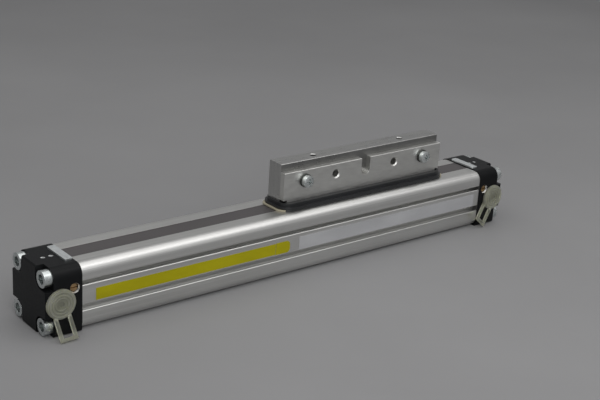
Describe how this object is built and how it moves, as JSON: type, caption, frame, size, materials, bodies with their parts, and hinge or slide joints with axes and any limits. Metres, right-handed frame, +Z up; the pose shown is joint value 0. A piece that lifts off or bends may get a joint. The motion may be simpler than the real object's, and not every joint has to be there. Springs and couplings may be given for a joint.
{
  "type": "rodless pneumatic cylinder",
  "caption": "Band-sealed rodless air cylinder: slotted aluminium barrel with side rails, black end caps with side ports, and a carriage bar driven by a piston inside.",
  "frame": {"origin": "mid length of the cylinder, on its vertical centre plane, in the base plane of the end caps", "axes": "+X along the barrel, towards the end the carriage stands nearer to; -Y is the side with the ports and the carriage's front plate; +Z up, out of the carriage's top"},
  "size_m": [0.365, 0.0496, 0.07],
  "materials": {
    "barrel_aluminium": "satin",
    "cap_black": "satin",
    "zinc_steel": "satin",
    "gasket": "matte",
    "black_rubber": "matte",
    "cushion_brass": "satin",
    "band_steel": "satin",
    "clamp_steel": "satin",
    "magnet_strip": "matte",
    "plug_plastic": "satin",
    "carriage_aluminium": "satin",
    "dark_steel": "satin",
    "wiper_black": "satin",
    "scraper_amber": "satin",
    "piston_aluminium": "satin",
    "piston_plastic": "matte",
    "guide_plastic": "matte",
    "magnet_steel": "satin"
  },
  "bodies": {
    "cylinder": {"barrel": "barrel_aluminium", "end_cap_left": "cap_black", "end_cap_right": "cap_black", "cap_gasket_left": "gasket", "cap_gasket_right": "gasket", "cap_screws_left": "zinc_steel", "cap_screws_right": "zinc_steel", "spigot_oring_left": "black_rubber", "spigot_oring_right": "black_rubber", "cushion_sleeve_left": "cushion_brass", "cushion_sleeve_right": "cushion_brass", "band_clamp_left": "clamp_steel", "band_clamp_right": "clamp_steel", "clamp_set_screws_left": "clamp_steel", "clamp_set_screws_right": "clamp_steel", "outer_band": "band_steel", "inner_band": "band_steel", "magnet_strip_front": "magnet_strip", "magnet_strip_rear": "magnet_strip"},
    "carriage": {"carrier_bar": "carriage_aluminium", "front_plate": "carriage_aluminium", "plate_screws": "zinc_steel", "plate_washers": "dark_steel", "wiper_frame": "wiper_black", "band_scraper_left": "scraper_amber", "band_scraper_right": "scraper_amber", "band_guide_left": "wiper_black", "band_guide_right": "wiper_black", "piston_yoke": "piston_aluminium", "yoke_screws": "dark_steel", "piston_head_left": "piston_plastic", "piston_head_right": "piston_plastic", "piston_seal_left": "black_rubber", "piston_seal_right": "black_rubber", "guide_ring_left": "guide_plastic", "guide_ring_right": "guide_plastic", "cushion_seal_left": "black_rubber", "cushion_seal_right": "black_rubber", "piston_magnets": "magnet_steel"},
    "needle_left": {"cushion_screw_left": "cushion_brass", "cushion_oring_left": "black_rubber"},
    "needle_right": {"cushion_screw_right": "cushion_brass", "cushion_oring_right": "black_rubber"},
    "plug_left": {"port_plug_left": "plug_plastic"},
    "plug_right": {"port_plug_right": "plug_plastic"}
  },
  "joints": [
    {"name": "carriage_slide", "type": "slide", "parent": "cylinder", "child": "carriage", "axis": [1, 0, 0], "range_m": [-0.124, 0.006], "deforming": ["outer_band", "inner_band"]},
    {"name": "needle_left_turn", "type": "hinge", "parent": "cylinder", "child": "needle_left", "pos_m": [-0.1645, -0.0205, 0.028], "axis": [0, -1, 0], "range_deg": [-720, 720]},
    {"name": "needle_right_turn", "type": "hinge", "parent": "cylinder", "child": "needle_right", "pos_m": [0.1645, -0.0205, 0.028], "axis": [0, -1, 0], "range_deg": [-720, 720]},
    {"name": "plug_left_pull", "type": "slide", "parent": "cylinder", "child": "plug_left", "axis": [0, -1, 0], "range_m": [0, 0.015]},
    {"name": "plug_right_pull", "type": "slide", "parent": "cylinder", "child": "plug_right", "axis": [0, -1, 0], "range_m": [0, 0.015]}
  ]
}
